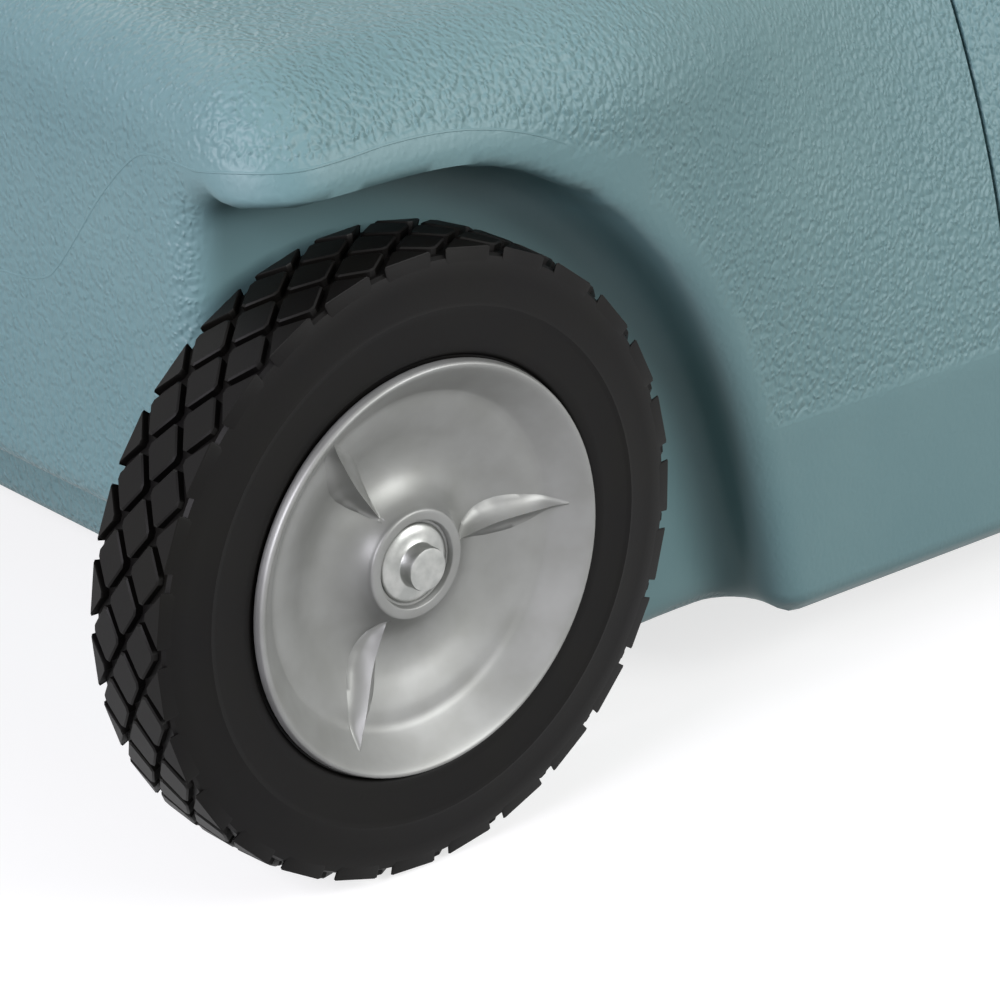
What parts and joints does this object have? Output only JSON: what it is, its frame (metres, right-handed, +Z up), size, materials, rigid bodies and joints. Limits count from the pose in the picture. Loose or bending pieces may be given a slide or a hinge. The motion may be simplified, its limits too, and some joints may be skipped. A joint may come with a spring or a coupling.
{
  "type": "portable waste tote",
  "caption": "Low moulded waste-water tank on a pair of big treaded wheels, with a hinged hose locker lid, fill cap, level gauge, gate-valve drain and fold-out tow bar.",
  "frame": {"origin": "on the ground, at the centre of the bounding box", "axes": "+X towards the tow and drain end, +Y to the left wheel, +Z up"},
  "size_m": [1, 0.57, 0.3645],
  "materials": {
    "moulded_hdpe": "leather grain above the parting line, smooth below",
    "tyre_rubber": "satin black",
    "seal_rubber": "matt",
    "hub_silver": "silver metallic",
    "zinc_steel": "zinc plated",
    "black_abs": "satin",
    "clear_dome": "clear",
    "signal_red": "satin"
  },
  "bodies": {
    "body": {"tank": "moulded_hdpe", "inlet_gasket": "seal_rubber", "drain_gasket": "seal_rubber", "front_skid": "seal_rubber", "gauge_dome": "clear_dome", "hinge_pin_rear": "zinc_steel", "hinge_pin_front": "zinc_steel", "latch_pin": "zinc_steel", "rear_axle": "zinc_steel", "axle_strap_left": "zinc_steel", "axle_strap_right": "zinc_steel", "strap_screw_left_rear": "zinc_steel", "strap_screw_left_front": "zinc_steel", "strap_screw_right_rear": "zinc_steel", "strap_screw_right_front": "zinc_steel", "push_nut_left": "zinc_steel", "push_nut_right": "zinc_steel", "valve_bolt_1": "zinc_steel", "valve_bolt_2": "zinc_steel", "valve_bolt_3": "zinc_steel", "valve_bolt_4": "zinc_steel", "tow_bracket_left": "zinc_steel", "tow_bracket_right": "zinc_steel", "tow_pivot_left": "zinc_steel", "tow_pivot_right": "zinc_steel", "hinge_base_rear": "black_abs", "hinge_base_front": "black_abs", "latch_bracket": "black_abs", "axle_spacer_left": "black_abs", "axle_spacer_right": "black_abs", "inlet_collar": "black_abs", "inlet_nut": "black_abs", "vent_collar": "black_abs", "gauge_base": "black_abs", "valve_rear": "black_abs", "valve_front": "black_abs", "outlet_spigot": "black_abs"},
    "wheel_left": {"tyre_left": "tyre_rubber", "hub_left": "hub_silver", "hub_bush_left": "black_abs"},
    "wheel_right": {"tyre_right": "tyre_rubber", "hub_right": "hub_silver", "hub_bush_right": "black_abs"},
    "lid": {"locker_lid": "moulded_hdpe", "hinge_leaf_rear": "black_abs", "hinge_leaf_front": "black_abs", "latch_keeper": "black_abs"},
    "latch": {"lid_latch": "black_abs"},
    "fill_cap": {"inlet_cap": "black_abs"},
    "breather_cap": {"vent_cap": "black_abs"},
    "drain_cap": {"outlet_cap": "black_abs"},
    "level_float": {"gauge_stem": "signal_red", "gauge_float": "black_abs"},
    "gate": {"gate_blade": "black_abs", "gate_rod": "zinc_steel", "gate_handle": "signal_red"},
    "tow_bar": {"tow_handle": "zinc_steel", "tow_grip": "seal_rubber"}
  },
  "joints": [
    {"name": "wheel_left_spin", "type": "hinge", "parent": "body", "child": "wheel_left", "pos_m": [-0.373, 0.259, 0.127], "axis": [0, 1, 0], "continuous": true},
    {"name": "wheel_right_spin", "type": "hinge", "parent": "body", "child": "wheel_right", "pos_m": [-0.373, -0.259, 0.127], "axis": [0, 1, 0], "continuous": true},
    {"name": "lid_hinge", "type": "hinge", "parent": "body", "child": "lid", "pos_m": [0.107, 0.262, 0.17], "axis": [-1, 0, 0], "range_deg": [0, 105]},
    {"name": "latch_pivot", "type": "hinge", "parent": "body", "child": "latch", "pos_m": [0.107, -0.2665, 0.15], "axis": [1, 0, 0], "range_deg": [0, 70]},
    {"name": "tow_fold", "type": "hinge", "parent": "body", "child": "tow_bar", "pos_m": [0.465, 0, 0.27], "axis": [0, -1, 0], "range_deg": [0, 120]},
    {"name": "fill_cap_lift", "type": "slide", "parent": "body", "child": "fill_cap", "axis": [0, 0, 1], "range_m": [0, 0.08]},
    {"name": "breather_cap_lift", "type": "slide", "parent": "body", "child": "breather_cap", "axis": [0, 0, 1], "range_m": [0, 0.05]},
    {"name": "drain_cap_pull", "type": "slide", "parent": "body", "child": "drain_cap", "axis": [1, 0, 0], "range_m": [0, 0.06]},
    {"name": "float_rise", "type": "slide", "parent": "body", "child": "level_float", "axis": [0, 0, 1], "range_m": [0, 0.018]},
    {"name": "gate_lift", "type": "slide", "parent": "body", "child": "gate", "axis": [0, 0, 1], "range_m": [0, 0.078]}
  ]
}
